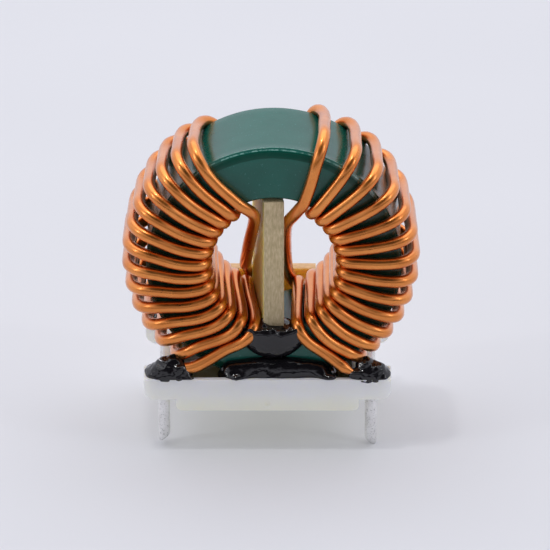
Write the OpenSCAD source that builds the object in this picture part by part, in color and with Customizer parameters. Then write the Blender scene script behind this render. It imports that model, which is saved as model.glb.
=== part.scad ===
// Toroidal inductor: two enamelled-wire coils on a coated ferrite ring that stands
// upright in a moulded four-pin base.
// Millimetres. X runs along the base, Y from front to back, Z up. The origin is the
// centre of the pin pattern, in the plane of the base's underside.

/* [Ferrite ring] */
// Outer diameter of the coated ring
core_od = 31.2; // [30.6:0.1:31.8]
// Bore of the coated ring
core_id = 18; // [17.8:0.1:18.6]
// Width of the ring along its axis
core_w = 13; // [12.4:0.1:13.2]
// Radius of the ring's four edges
core_edge_r = 1; // [0.6:0.1:1.4]
// How far the ring stands to the right of the base's centre
core_x = 0.8; // [0.4:0.1:1]
// How far the ring stands in front of the base's centre
core_forward = 1.2; // [1.1:0.1:1.3]

/* [Windings] */
// Wire diameter over its enamel
wire_d = 1.44; // [1.3:0.01:1.46]
// Turns seen on the ring's front face, in each coil
turns = 14; // [11:1:14]
// Gap between neighbouring wires in the bore
turn_gap = 0.04; // [0.03:0.01:0.06]
// Gap between the wire and the ring's faces and bore
wire_clearance = 0.04; // [0.03:0.01:0.06]
// Bend radius of the wire at the bore
bore_bend_r = 1.1; // [0.9:0.1:1.3]
// Largest bend radius of the wire at the rim
rim_bend_r = 2.4; // [2:0.1:2.8]
// How far the right coil stands off the ring's rim
right_slack = 0.9; // [0.5:0.1:1.2]
// How far the left coil stands off the ring's rim
left_slack = 1.5; // [0.8:0.1:1.8]
// How far the leads run behind the middle of the coils' back wires
lead_back = 0.74; // [0.7:0.01:0.8]

/* [Divider and rear board] */
// Thickness of the divider in the bore
divider_t = 2.5; // [2.2:0.1:2.7]
// Length of the divider along the bore
divider_l = 13; // [11:0.1:13.4]
// Turn of the divider about the vertical, in degrees
divider_turn = 6.4; // [3:0.2:8]
// Gap between the leads and the rear board
board_gap = 0.13; // [0.1:0.01:0.2]
// Thickness of the rear board
board_t = 1.6; // [1.2:0.1:1.6]
// Width of the rear board
board_w = 12; // [10:0.5:12.5]
// Height of the rear board
board_h = 8.2; // [6:0.1:9]

/* [Base] */
// Width over the pin lugs
base_w = 30.3; // [29.8:0.1:31.2]
// Width of the foot
body_w = 22.4; // [21.6:0.1:22.6]
// Width of the body above the foot, between the lugs
waist_w = 25.8; // [25:0.1:26.4]
// Height of the base
base_h = 4.15; // [3.9:0.05:4.4]
// Height of the foot below the lugs
foot_h = 1.5; // [1.2:0.1:1.8]
// Depth of each lug from front to back
lug_d = 4.1; // [3.6:0.1:4.6]
// Depth of the tray that the ring stands in
tray_depth = 1.3; // [1.1:0.1:1.5]
// Thickness of the tray's wall
wall_t = 0.8; // [0.6:0.1:1]

/* [Pins] */
// Diameter of the pins' free ends
pin_d = 1.5; // [1.3:0.05:1.55]
// Thickness of the tin coat that the pins have below the base
pin_tin = 0.02; // [0.01:0.01:0.04]
// Spacing of the pins along the base
pin_pitch_x = 25.4; // [25:0.1:25.8]
// Spacing of the pins from front to back
pin_pitch_y = 16; // [15.6:0.1:16.2]
// Length of the pins below the base
pin_below = 5.3; // [4:0.1:7]
// Length of the pins above the lugs
pin_above = 1.7; // [1.6:0.05:1.8]
// How much higher the front left pin sits
raised_by = 0.5; // [0.3:0.05:0.6]
// Height of the slanting cut at each pin's tip
tip_slant = 0.8; // [0.4:0.1:1.2]

/* [Glue and solder] */
// Radius of a solder joint at its foot
solder_r = 1.5; // [1.4:0.05:1.6]
// Height of a solder joint
solder_h = 1.5; // [1.3:0.05:1.55]
// Radius of the glue blob on a lug
blob_r = 3; // [2.6:0.1:3.1]
// Height of the glue blob above its lug
blob_h = 2.6; // [2.5:0.05:2.7]
// Radius of the smaller blob on the front right lug
small_blob_r = 2.1; // [2:0.1:2.4]
// Height of the smaller blob
small_blob_h = 2.3; // [2.2:0.05:2.5]

/* [Hidden] */
$fn = 96;

// Places worked out from the sizes above
core_r = core_od / 2;
bore_r = core_id / 2;
floor_z = base_h - tray_depth;
core_y = -core_forward;
core_z = floor_z + core_r;
core_at = [core_x, core_y, core_z];
wire_r = wire_d / 2;
wire_face_y = core_w / 2 + wire_r + wire_clearance;
wire_bore_r = bore_r - wire_r - wire_clearance;
// The rear board stands close behind the leads, and the tray's wall close behind the board
lead_y = wire_face_y + lead_back;
board_y = core_y + lead_y + wire_r + board_gap;
tray_d = 2 * (board_y + board_t);
base_d = tray_d + 2 * wall_t;
bore_pitch = 2 * asin((wire_d + turn_gap) / 2 / wire_bore_r);
lug_z = foot_h;
pin_held_d = pin_d - 2 * pin_tin;
foot_corner_r = 0.7;
lug_corner_r = 1.4;
tray_corner_r = 0.6;
tray_w = body_w - 2 * wall_t;
WIRE_SIDES = 8;
CORNERS = [[-1, -1], [1, -1], [-1, 1], [1, 1]];

// Each coil: side, bore angle of its last turn, how far its turns lean on the ring's face
// and at its rim, and how far they stand off the rim at the front and at the back.
// Angles are in degrees from straight up. A lean or a slack is [at the first turn, at the
// last turn, bulge between them].
SIDE = 0;
LAST = 1;
FACE_LEAN = 2;
RIM_LEAN = 3;
FRONT_SLACK = 4;
BACK_SLACK = 5;
right_coil = [1, 156.5, [-0.7, -3.5, 5], [-2.5, -12, 9.5],
              [right_slack + 0.7, right_slack - 0.8, 0],
              [right_slack - 0.7, right_slack - 0.7, 0.4]];
left_coil = [-1, 159.5, [5.3, -7.5, 0.5], [7.3, -13.7, -1.8],
             [left_slack + 0.4, left_slack - 0.5, 0.2],
             [left_slack - 1.2, left_slack - 0.6, 0.8]];
// Degrees that a turn moves along behind the ring, and at its rim
rear_lean = 6;
rim_sway = 2;

// Small round mark in the middle of the base's front face, where the mould was filled
gate_d = 0.8;
gate_depth = 0.15;
gate_z = 1.05;

// The fillet of a solder joint is an arc about a point outside and above the joint
fillet_r = 1.3;
fillet_out = 0.55;
fillet_up = 0.35;

// Glue: how far a corner blob lies in from its pin, and each bead's length, radius and place
blob_in = 0.4;
small_blob_in = -0.3;
foot_bead_l = 7.2;
foot_bead_r = 2.1;
foot_bead_x = 0.2;
foot_bead_drop = 0.8;
seat_bead_l = 14.2;
seat_bead_r = 2.2;
seat_bead_x = 0.4;
seat_bead_sink = 0.6;
board_bead_l = 10;
board_bead_r = 1.1;

// ---------- small helpers ----------

function blend(a, b, t) = a + (b - a) * t;
function ease(t) = t * t * (3 - 2 * t);
function unit(v) = v / norm(v);
function steps(n) = [for (i = [0 : n]) i / n];
function inner_steps(n) = [for (i = [1 : n - 1]) i / n];

// Point through which a smooth curve passes between b and c (Catmull-Rom)
function between(a, b, c, d, t) =
    0.5 * (2 * b + (c - a) * t + (2 * a - 5 * b + 4 * c - d) * t * t
           + (3 * b - a - 3 * c + d) * t * t * t);
function smooth_route(p, n) = [
    for (i = [0 : len(p) - 2])
        for (j = [0 : n - 1])
            between(p[max(i - 1, 0)], p[i], p[i + 1], p[min(i + 2, len(p) - 1)], j / n),
    p[len(p) - 1]
];

// ---------- route of a coil's wire, about the ring's centre ----------

function polar(coil, r, y, angle) = [coil[SIDE] * r * sin(angle), y, r * cos(angle)];
function turn_share(k) = k / (turns - 1);
function lean(l, k) = blend(l[0], l[1], turn_share(k)) + l[2] * sqrt(sin(180 * turn_share(k)));
function bore_angle(coil, k) = coil[LAST] - (turns - 1 - k) * bore_pitch;
function face_angle(coil, k) = bore_angle(coil, k) + lean(coil[FACE_LEAN], k);
function rim_angle(coil, k) = bore_angle(coil, k) + lean(coil[RIM_LEAN], k);
function rim_radius(coil, k, slack) = core_r + wire_r + lean(coil[slack], k);
function front_rim(coil, k) = rim_radius(coil, k, FRONT_SLACK);
function back_rim(coil, k) = rim_radius(coil, k, BACK_SLACK);
// The tighter a turn sits, the more closely it follows the ring's own edge
function rim_bend(coil, k, slack) =
    min(rim_bend_r, core_edge_r + wire_r + wire_clearance + lean(coil[slack], k));
function front_bend(coil, k) = rim_bend(coil, k, FRONT_SLACK);
function back_bend(coil, k) = rim_bend(coil, k, BACK_SLACK);

// Angle along a straight stretch of the face, through three given angles
function face_bow(a, b, c, t) = a * (1 - t) * (1 - 2 * t) + 4 * b * t * (1 - t) + c * t * (2 * t - 1);

// Out along the front face, from the bore to the rim. The last turn stops half way.
function front_run(coil, k) = [
    for (t = k == turns - 1 ? [0.25, 0.5] : inner_steps(4))
        polar(coil, blend(wire_bore_r + bore_bend_r, front_rim(coil, k) - front_bend(coil, k), t),
              -wire_face_y,
              face_bow(bore_angle(coil, k), face_angle(coil, k), rim_angle(coil, k), t))
];
// Bend out of the bore on to the front face
function front_bore_bend(coil, k) = [
    for (t = steps(2))
        polar(coil, wire_bore_r + bore_bend_r * (1 - cos(90 * t)),
              -wire_face_y + bore_bend_r * (1 - sin(90 * t)), bore_angle(coil, k))
];
// Over the rim from front to back
function rim_run(coil, k) =
    let (front_r = front_rim(coil, k), front_b = front_bend(coil, k),
         back_r = back_rim(coil, k), back_b = back_bend(coil, k),
         angle = rim_angle(coil, k))
    [
        for (t = steps(3))
            polar(coil, front_r - front_b * (1 - sin(90 * t)),
                  -wire_face_y + front_b * (1 - cos(90 * t)), angle),
        polar(coil, (front_r + back_r) / 2, 0, angle + rim_sway),
        for (t = steps(3))
            polar(coil, back_r - back_b * (1 - cos(90 * t)),
                  wire_face_y - back_b * (1 - sin(90 * t)),
                  angle + rim_sway - rear_lean * ease(t))
    ];
// In along the back face and into the bore
function back_run(coil, k) = [
    for (t = inner_steps(3))
        polar(coil, blend(back_rim(coil, k) - back_bend(coil, k), wire_bore_r + bore_bend_r, t),
              wire_face_y,
              blend(rim_angle(coil, k) + rim_sway - rear_lean, bore_angle(coil, k), ease(t))),
    for (t = steps(2))
        polar(coil, wire_bore_r + bore_bend_r * (1 - sin(90 * t)),
              wire_face_y - bore_bend_r * (1 - cos(90 * t)), bore_angle(coil, k))
];
// Forward through the bore, moving up beside the next turn
function bore_run(coil, k) = [
    for (t = inner_steps(4))
        polar(coil, wire_bore_r, (wire_face_y - bore_bend_r) * (1 - 2 * t),
              bore_angle(coil, k) + bore_pitch * ease(t))
];
function coil_route(coil) = [
    for (k = [0 : turns - 1])
        each concat(k == 0 ? [front_bore_bend(coil, k)[2]] : front_bore_bend(coil, k),
                    front_run(coil, k),
                    k == turns - 1 ? [] : concat(rim_run(coil, k), back_run(coil, k),
                                                 bore_run(coil, k)))
];

// ---------- the two wires with their leads ----------
// The starts climb from the rear pins behind the ring, and run forward through the bore
// beside the divider. The ends run down from the last turn to the front pins.

pin_right = pin_pitch_x / 2 - core_x;
pin_left = -pin_pitch_x / 2 - core_x;
lug_top = base_h - core_z;
right_start = [[pin_right - 1.6, lead_y + 1, lug_top + 1.5],
               [pin_right - 2.7, lead_y + 0.7, lug_top + 1.2],
               [7, lead_y, lug_top + 1.4], [4.6, lead_y - 0.1, -11.2], [3, lead_y - 0.2, -9.3],
               [2, 6.7, -7.2], [1.75, 4.8, -4.9], [1.65, 0.4, 0.4], [1.85, -3.4, 4],
               [2.6, -6.1, 6.4]];
right_end = [[pin_right - 4, -7.8, lug_top + 1.5], [pin_right - 2.8, -8.1, lug_top + 1.1],
             [pin_right - 2, -8.4, lug_top + 1]];
left_start = [[pin_left + 1.6, lead_y + 1, lug_top + 1.5],
              [pin_left + 2.9, lead_y + 0.8, lug_top + 1.2],
              [-8, lead_y + 0.1, lug_top + 1.4], [-5.6, lead_y, -11.6], [-3.9, lead_y, -9.6],
              [-3, lead_y, -7.6], [-3.35, 6.9, -6.1], [-3.5, 5, -4.8], [-3.3, 0, 0],
              [-2.8, -4.6, 4.7], [-2.9, -6.5, 6.8]];
left_end = [[pin_left + 4.9, -7.6, lug_top + 1.8], [pin_left + 3.3, -7.9, lug_top + 1.2],
            [pin_left + 1.7, -8.2, lug_top + 1]];

function winding_route(coil, start, end) =
    let (turns_route = coil_route(coil),
         first = turns_route[0],
         last = turns_route[len(turns_route) - 1])
    concat(smooth_route(concat(start, [first]), 2),
           [for (i = [1 : len(turns_route) - 2]) turns_route[i]],
           smooth_route(concat([last], end), 2));

// ---------- a round wire swept along a route ----------

function heading(p, i) = unit(p[min(i + 1, len(p) - 1)] - p[max(i - 1, 0)]);
function level(v, d) = unit(v - (v * d) * d);
// One side vector for each point, turned as little as possible from the one before
function side_vectors(p) = [
    for (i = 0, s = level([0.3, 0.1, 1], heading(p, 0)); i < len(p);
         i = i + 1, s = i < len(p) ? level(s, heading(p, i)) : s) s
];
// The stretch of the wire from one point of its route to another
module wire_stretch(p, from, to) {
    n = to - from + 1;
    s = side_vectors(p);
    rings = [for (i = [from : to])
        let (d = heading(p, i), u = s[i], v = cross(d, u))
        for (j = [0 : WIRE_SIDES - 1])
            p[i] + wire_r * (u * cos(360 * j / WIRE_SIDES) + v * sin(360 * j / WIRE_SIDES))];
    sides = [for (i = [0 : n - 2]) for (j = [0 : WIRE_SIDES - 1])
        let (a = i * WIRE_SIDES, b = (j + 1) % WIRE_SIDES)
        [a + j, a + j + WIRE_SIDES, a + b + WIRE_SIDES, a + b]];
    start_cap = [for (j = [0 : WIRE_SIDES - 1]) j];
    end_cap = [for (j = [WIRE_SIDES - 1 : -1 : 0]) (n - 1) * WIRE_SIDES + j];
    polyhedron(points = rings, faces = concat([start_cap], sides, [end_cap]), convexity = 20);
}
module wire_along(p) {
    wire_stretch(p, 0, len(p) - 1);
}

module winding_left() {
    color("#c5773f") translate(core_at)
        wire_along(winding_route(left_coil, left_start, left_end));
}
module winding_right() {
    color("#c5773f") translate(core_at)
        wire_along(winding_route(right_coil, right_start, right_end));
}

// ---------- ring, divider and rear board ----------

module rounded_rect(w, h, r) {
    square([w - 2 * r, h], center = true);
    square([w, h - 2 * r], center = true);
    for (sx = [-1, 1])
        for (sy = [-1, 1])
            translate([sx * (w / 2 - r), sy * (h / 2 - r)]) circle(r);
}
module core() {
    color("#1f4a44") translate(core_at) rotate([90, 0, 0])
        rotate_extrude()
            translate([(bore_r + core_r) / 2, 0])
                rounded_rect(core_r - bore_r, core_w, core_edge_r);
}
// The divider is as high as the bore allows at its corners
divider_half_x = divider_t / 2 * cos(divider_turn) + divider_l / 2 * sin(divider_turn);
divider_front_x = 0;
divider_x = divider_front_x - divider_l / 2 * sin(divider_turn);
divider_reach = abs(divider_x) + divider_half_x;
divider_h = 2 * sqrt(pow(bore_r, 2) - pow(divider_reach, 2));
module divider_solid() {
    translate(core_at + [divider_x, 0, 0]) rotate([0, 0, divider_turn])
        cube([divider_t, divider_l, divider_h], center = true);
}
module divider() {
    color("#a0906e") divider_solid();
}
module rear_board() {
    color("#b09a4a") translate([-board_w / 2, board_y, floor_z])
        cube([board_w, board_t, board_h]);
}

// ---------- base ----------

// Front view of a block whose lower corners are rounded
module block_profile(w, z, r) {
    intersection() {
        translate([-w / 2, z]) square([w, base_h - z]);
        union() {
            translate([-w / 2, z + r]) square([w, base_h]);
            translate([-w / 2 + r, z]) square([w - 2 * r, base_h]);
            for (s = [-1, 1])
                translate([s * (w / 2 - r), z + r]) circle(r);
        }
    }
}
module slab(depth) {
    rotate([90, 0, 0]) linear_extrude(depth, center = true) children();
}
module base_solid() {
    difference() {
        union() {
            slab(base_d) block_profile(body_w, 0, foot_corner_r);
            slab(base_d) block_profile(waist_w, lug_z, foot_corner_r);
            for (s = [-1, 1])
                translate([0, s * (base_d - lug_d) / 2, 0])
                    slab(lug_d) block_profile(base_w, lug_z, lug_corner_r);
        }
        translate([0, 0, floor_z]) linear_extrude(tray_depth + 1)
            rounded_rect(tray_w, tray_d, tray_corner_r);
        for (c = CORNERS)
            at_pin(c) cylinder(h = base_h + 1, d = pin_held_d);
        translate([0, gate_depth - base_d / 2, gate_z])
            rotate([90, 0, 0]) cylinder(h = 2 * gate_depth, d = gate_d, $fn = 32);
    }
}
module base() {
    color("#dcdcd2") base_solid();
}

// ---------- pins, solder and glue ----------

module at_pin(c) {
    translate([c[0] * pin_pitch_x / 2, c[1] * pin_pitch_y / 2, 0]) children();
}
// The tip is cut on the side that faces the middle of the base
module pin(c, raise) {
    tip_z = raise - pin_below;
    cut_w = 0.75 * pin_d;
    color("#b9b8bc") at_pin(c) difference() {
        union() {
            translate([0, 0, tip_z]) cylinder(h = -tip_z, d = pin_d);
            cylinder(h = base_h + pin_above + raise, d = pin_held_d);
        }
        translate([c[0] * (cut_w - pin_d / 2), 0, tip_z])
            rotate([0, c[0] * atan(tip_slant / cut_w), 0])
                translate([0, 0, -pin_d]) cube(2 * pin_d, center = true);
    }
}
module solder_shape() {
    // A concave fillet that climbs the pin
    translate([0, 0, base_h]) rotate_extrude()
        difference() {
            square([solder_r, solder_h]);
            translate([solder_r + fillet_out, solder_h + fillet_up]) circle(fillet_r);
        }
}
// Every stretch of a wire that comes near a point
function run_end(hit, i) = i + 1 < len(hit) && hit[i + 1] ? run_end(hit, i + 1) : i;
module wire_near(route, point, reach) {
    last = len(route) - 1;
    hit = [for (p = route) norm(p + core_at - point) < reach];
    for (i = [0 : last])
        if (hit[i] && (i == 0 || !hit[i - 1]))
            translate(core_at)
                wire_stretch(route, max(i - 1, 0), min(run_end(hit, i) + 1, last));
}
function corner_point(c) = [c[0] * pin_pitch_x / 2, c[1] * pin_pitch_y / 2, base_h];
function corner_route(c) =
    c[0] < 0 ? winding_route(left_coil, left_start, left_end)
             : winding_route(right_coil, right_start, right_end);
module solder(c) {
    color("#c9c8ca") difference() {
        at_pin(c) solder_shape();
        at_pin(c) cylinder(h = base_h + pin_above, d = pin_held_d);
        wire_near(corner_route(c), corner_point(c), solder_h + wire_d);
    }
}
// Half a spindle of glue that lies along X: a lens, revolved
module bead(length, r) {
    arc_r = (pow(length / 2, 2) + pow(r, 2)) / (2 * r);
    rotate([0, 90, 0]) rotate_extrude() intersection() {
        translate([r - arc_r, 0]) circle(arc_r, $fn = 360);
        translate([0, -length / 2]) square([r, length]);
    }
}
module glue_corner(c, r, h, in, raise) {
    cap_r = (pow(r, 2) + pow(h, 2)) / (2 * h);
    color("#1b181b") difference() {
        intersection() {
            at_pin(c) translate([-c[0] * in, 0, base_h + h - cap_r]) sphere(cap_r);
            translate([-base_w / 2, -base_d / 2, base_h]) cube([base_w, base_d, core_od]);
        }
        at_pin(c) cylinder(h = base_h + pin_above + raise, d = pin_held_d);
        at_pin(c) solder_shape();
        wire_near(corner_route(c), corner_point(c), r + abs(in) + wire_d);
    }
}
// Everything behind the plane of the ring's front face
module behind_face() {
    translate([-base_w / 2, core_y - core_w / 2, 0]) cube([base_w, core_w, core_z]);
}
module glue_divider_foot() {
    color("#1b181b") difference() {
        translate(core_at + [foot_bead_x, -core_w / 2, -bore_r - foot_bead_drop])
            bead(foot_bead_l, foot_bead_r);
        behind_face();
        divider_solid();
    }
}
module glue_seat_front() {
    color("#1b181b") difference() {
        translate([core_x + seat_bead_x, core_y - core_w / 2, base_h - seat_bead_sink])
            bead(seat_bead_l, seat_bead_r);
        behind_face();
        base_solid();
    }
}
module glue_board_foot() {
    color("#1b181b") intersection() {
        translate([0, board_y, floor_z]) bead(board_bead_l, board_bead_r);
        translate([-board_w / 2, board_y - board_t, floor_z]) cube([board_w, board_t, board_h]);
    }
}

module pin_front_left() { pin(CORNERS[0], raised_by); }
module pin_front_right() { pin(CORNERS[1], 0); }
module pin_rear_left() { pin(CORNERS[2], 0); }
module pin_rear_right() { pin(CORNERS[3], 0); }
module solder_front_left() { solder(CORNERS[0]); }
module solder_front_right() { solder(CORNERS[1]); }
module solder_rear_left() { solder(CORNERS[2]); }
module solder_rear_right() { solder(CORNERS[3]); }
module glue_front_left() { glue_corner(CORNERS[0], blob_r, blob_h, blob_in, raised_by); }
module glue_front_right() {
    glue_corner(CORNERS[1], small_blob_r, small_blob_h, small_blob_in, 0);
}
module glue_rear_left() { glue_corner(CORNERS[2], blob_r, blob_h, blob_in, 0); }
module glue_rear_right() { glue_corner(CORNERS[3], blob_r, blob_h, blob_in, 0); }

base();
core();
winding_left();
winding_right();
divider();
rear_board();
pin_front_left();
pin_front_right();
pin_rear_left();
pin_rear_right();
solder_front_left();
solder_front_right();
solder_rear_left();
solder_rear_right();
glue_front_left();
glue_front_right();
glue_rear_left();
glue_rear_right();
glue_divider_foot();
glue_seat_front();
glue_board_foot();
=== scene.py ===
"""Toroidal inductor: round wires, a coated ring, a moulded base, glue and pins on the CAD frame.

Sizes are in millimetres until a mesh is made, and every mesh is in metres in the CAD's frame.
X runs along the base, Y from front to back and Z up.
"""

import math

import bmesh
import bpy
import numpy as np
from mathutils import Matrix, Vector, noise


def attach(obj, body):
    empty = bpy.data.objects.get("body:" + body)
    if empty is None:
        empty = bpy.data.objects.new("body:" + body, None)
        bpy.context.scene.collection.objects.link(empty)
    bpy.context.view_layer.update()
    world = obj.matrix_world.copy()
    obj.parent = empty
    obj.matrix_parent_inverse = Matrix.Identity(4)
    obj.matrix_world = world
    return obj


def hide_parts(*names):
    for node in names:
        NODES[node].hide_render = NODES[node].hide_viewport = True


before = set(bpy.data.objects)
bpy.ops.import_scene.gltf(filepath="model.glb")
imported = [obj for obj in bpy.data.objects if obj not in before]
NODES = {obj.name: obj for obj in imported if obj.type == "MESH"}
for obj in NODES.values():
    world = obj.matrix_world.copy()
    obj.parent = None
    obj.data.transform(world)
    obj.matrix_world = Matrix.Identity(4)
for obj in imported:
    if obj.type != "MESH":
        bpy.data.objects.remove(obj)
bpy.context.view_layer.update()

MM = 0.001

# ---------- sizes that the CAD part has too ----------

CORE_R, BORE_R, CORE_W, CORE_EDGE = 15.6, 9.0, 13.0, 1.0
BASE_W, BASE_D, BASE_H, TRAY_DEPTH, WALL = 30.3, 20.1, 4.15, 1.3, 0.8
FLOOR_Z = BASE_H - TRAY_DEPTH
CORE_AT = np.array([0.8, -1.2, FLOOR_Z + CORE_R])
WIRE_R, WIRE_GAP, TURN_GAP, TURNS = 0.72, 0.04, 0.04, 14
BORE_BEND, REAR_LEAN, RIM_SWAY = 1.1, 6, 2
PIN_R, PIN_X, PIN_Y, PIN_BELOW, RAISED, TIP_SLANT = 0.75, 12.7, 8.0, 5.3, 0.5, 0.8
DIVIDER_T, DIVIDER_L, DIVIDER_TURN = 2.5, 13.0, 6.4
BOARD_T, BOARD_W, BOARD_H = 1.6, 12.0, 8.2

# The ring's front face, the base's front face and the middle of the rear board
RING_FRONT_Y = CORE_AT[1] - CORE_W / 2
BASE_FRONT_Y = -BASE_D / 2
BOARD_Y = (BASE_D - 2 * WALL) / 2 - BOARD_T / 2
# The base's corners, with their sides in x and y
CORNERS = {"front_left": (-1, -1), "front_right": (1, -1),
           "rear_left": (-1, 1), "rear_right": (1, 1)}

# ---------- sizes of this scene alone ----------

# The wires are round and a little thicker than the solids, and two of their bends are wider
ENAMELLED_R = 0.76
BACK_BEND, RIM_BEND = 1.8, 3.5
# The pins end a little lower inside the glue
PIN_ABOVE = 1.45
# The floor is at the height of the pins' tips
GROUND_Z = -PIN_BELOW

# A coil's angles are in degrees from straight up. face and rim say how far a turn leans there from
# its place in the bore, front and back how far it stands off the rim, each as the value at the
# first turn, at the last turn and what is added in the middle. last is the last turn's angle,
# crowd what single turns are pushed on by, and slide how far a turn's back end has gone towards
# the next turn, at the first and last turns. side is the side of the ring in x, and start and end
# are the leads, from the ring's centre.
RIGHT_SLACK, LEFT_SLACK = 0.9, 1.5
RIGHT = {
    "side": 1, "last": 156.5, "face": (-0.7, -3.5, 5), "rim": (-2.5, -12, 9.5),
    "front": (RIGHT_SLACK + 0.65, RIGHT_SLACK - 0.85, 0),
    "back": (RIGHT_SLACK - 0.75, RIGHT_SLACK - 0.75, 0.4),
    "crowd": {12: 1.2, 13: 3.8}, "slide": (0.6, 0.9),
    "start": [(10.3, 9, -12.8), (9.2, 8.7, -13.1), (7, 8, -12.9), (4.6, 7.9, -11.2), (3, 7.8, -9.3),
              (1.9, 6.7, -7.2), (1.55, 4.8, -4.9), (1.4, 0.4, 0.4), (1.6, -3.4, 4.3),
              (2.5, -6.1, 6.75)],
    "end": [(6.75, -7.4, -11.7), (8.1, -7.75, -12.7), (9.0, -8.0, -13.25), (10.1, -8.2, -13.75)],
}
LEFT = {
    "side": -1, "last": 159.5, "face": (5.3, -7.5, 0.5), "rim": (7.3, -13.7, -1.8),
    "front": (LEFT_SLACK + 0.35, LEFT_SLACK - 0.55, 0.2),
    "back": (LEFT_SLACK - 1.25, LEFT_SLACK - 0.65, 0.8),
    "crowd": {10: 1, 11: 1, 12: 2.7, 13: 4.5}, "slide": (0.15, 0.4),
    "start": [(-11.9, 9, -12.8), (-10.6, 8.8, -13.1), (-8, 8.1, -12.9), (-5.6, 8, -11.6),
              (-3.9, 8, -9.6), (-3, 8, -7.6), (-3.35, 6.9, -6.1), (-3.5, 5, -4.8), (-3.1, 0, 0),
              (-2.45, -4.6, 5.0), (-2.6, -6.5, 7.1)],
    "end": [(-8.6, -7.55, -12.5), (-10.1, -7.6, -13.2), (-11.5, -7.3, -13.5)],
}

# ---------- camera ----------

# The optical axis passes a little to the right of and below the ring's centre
VIEW_DISTANCE, VIEW_DOWN, PX_PER_MM, IMAGE_PX, SENSOR_MM = 1045.0, 25.0, 8.14, 550, 36
AXIS_X, AXIS_UP = 1 / PX_PER_MM, -31 / PX_PER_MM
down = math.radians(VIEW_DOWN)
eye = CORE_AT + np.array([
    AXIS_X,
    -VIEW_DISTANCE * math.cos(down) + AXIS_UP * math.sin(down),
    VIEW_DISTANCE * math.sin(down) + AXIS_UP * math.cos(down),
])
camera_data = bpy.data.cameras.new("camera")
camera_data.sensor_width = SENSOR_MM
camera_data.lens = SENSOR_MM * VIEW_DISTANCE * PX_PER_MM / IMAGE_PX
camera_data.clip_start, camera_data.clip_end = 0.05, 20
camera = bpy.data.objects.new("camera", camera_data)
camera.location = eye * MM
camera.rotation_euler = (math.radians(90 - VIEW_DOWN), 0, 0)
bpy.context.collection.objects.link(camera)
bpy.context.scene.camera = camera

# ---------- light ----------

scene = bpy.context.scene
scene.view_settings.view_transform = "Standard"
world = bpy.data.worlds.new("studio")
scene.world = world
world.use_nodes = True
sky = world.node_tree.nodes["Background"]
sky.inputs["Color"].default_value = (0.90, 0.905, 1.0, 1)

# Where the tent changes from front to back, and from low to high
SWEEP, SKIRT = (-0.9, 0.5), (0.12, 0.32)
# How high its opening is, and how far from its middle it starts and is full, in degrees
OPENING_UP, OPENING_HALF = 60, (43, 20)


def feed(links, socket, value):
    """Sets a node's socket to a number or a colour, or links another node's output to it."""
    if isinstance(value, (int, float)):
        socket.default_value = value
    elif isinstance(value, tuple):
        socket.default_value = value + (1,)
    else:
        links.new(value, socket)


def sky_step(value, ends, first, last):
    """Goes smoothly from first to last as a value goes from one of the ends to the other."""
    node = world.node_tree.nodes.new("ShaderNodeMapRange")
    node.interpolation_type = "SMOOTHSTEP"
    sockets = ("Value", "From Min", "From Max", "To Min", "To Max")
    for socket, given in zip(sockets, (value, *ends, first, last)):
        feed(world.node_tree.links, node.inputs[socket], given)
    return node.outputs["Result"]


def tent(front, back, opening):
    """A white tent all round, from its strengths in front, behind and in the opening.

    The opening is above the camera, and the tent is as dark as it low down in front.
    """
    nodes, links = world.node_tree.nodes, world.node_tree.links
    ways = nodes.new("ShaderNodeTexCoord").outputs["Generated"]
    split = nodes.new("ShaderNodeSeparateXYZ")
    links.new(ways, split.inputs["Vector"])
    skirt = sky_step(split.outputs["Z"], SKIRT, opening, front)
    sweep = sky_step(split.outputs["Y"], SWEEP, skirt, back)
    up = math.radians(OPENING_UP)
    towards = nodes.new("ShaderNodeVectorMath")
    towards.operation = "DOT_PRODUCT"
    towards.inputs[1].default_value = (0, -math.cos(up), math.sin(up))
    links.new(ways, towards.inputs[0])
    ends = [math.cos(math.radians(a)) for a in OPENING_HALF]
    hole = sky_step(towards.outputs["Value"], ends, 1, opening)
    both = nodes.new("ShaderNodeMath")
    both.operation = "MULTIPLY"
    links.new(sweep, both.inputs[0])
    links.new(hole, both.inputs[1])
    links.new(both.outputs["Value"], sky.inputs["Strength"])


tent(front=0.87, back=1.04, opening=0.03)


def softbox(name, at, size, power, aim=(0, 0, 0.015)):
    """A rectangular lamp, in metres and watts."""
    data = bpy.data.lights.new(name, "AREA")
    data.shape = "RECTANGLE"
    data.size, data.size_y = size
    data.energy = power
    lamp = bpy.data.objects.new(name, data)
    lamp.location = at
    lamp.rotation_euler = (Vector(aim) - Vector(at)).to_track_quat("-Z", "Y").to_euler()
    bpy.context.collection.objects.link(lamp)


softbox("top", (0.0, 0.27, 0.62), (0.8, 0.8), 1.9, aim=(0, 0.27, 0))
softbox("strip_left", (-0.50, -0.16, 0.26), (0.014, 0.22), 0.26)
softbox("strip_right", (0.50, -0.20, 0.30), (0.014, 0.22), 0.22)
softbox("spark", (-0.08, -0.02, 0.55), (0.035, 0.035), 0.30)

# ---------- materials ----------

# Sockets of a colour mix node, which has several of each name
MIX_A, MIX_B, MIX_OUT = 6, 7, 2
GRAIN_ROUGHNESS = 0.55


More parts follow.
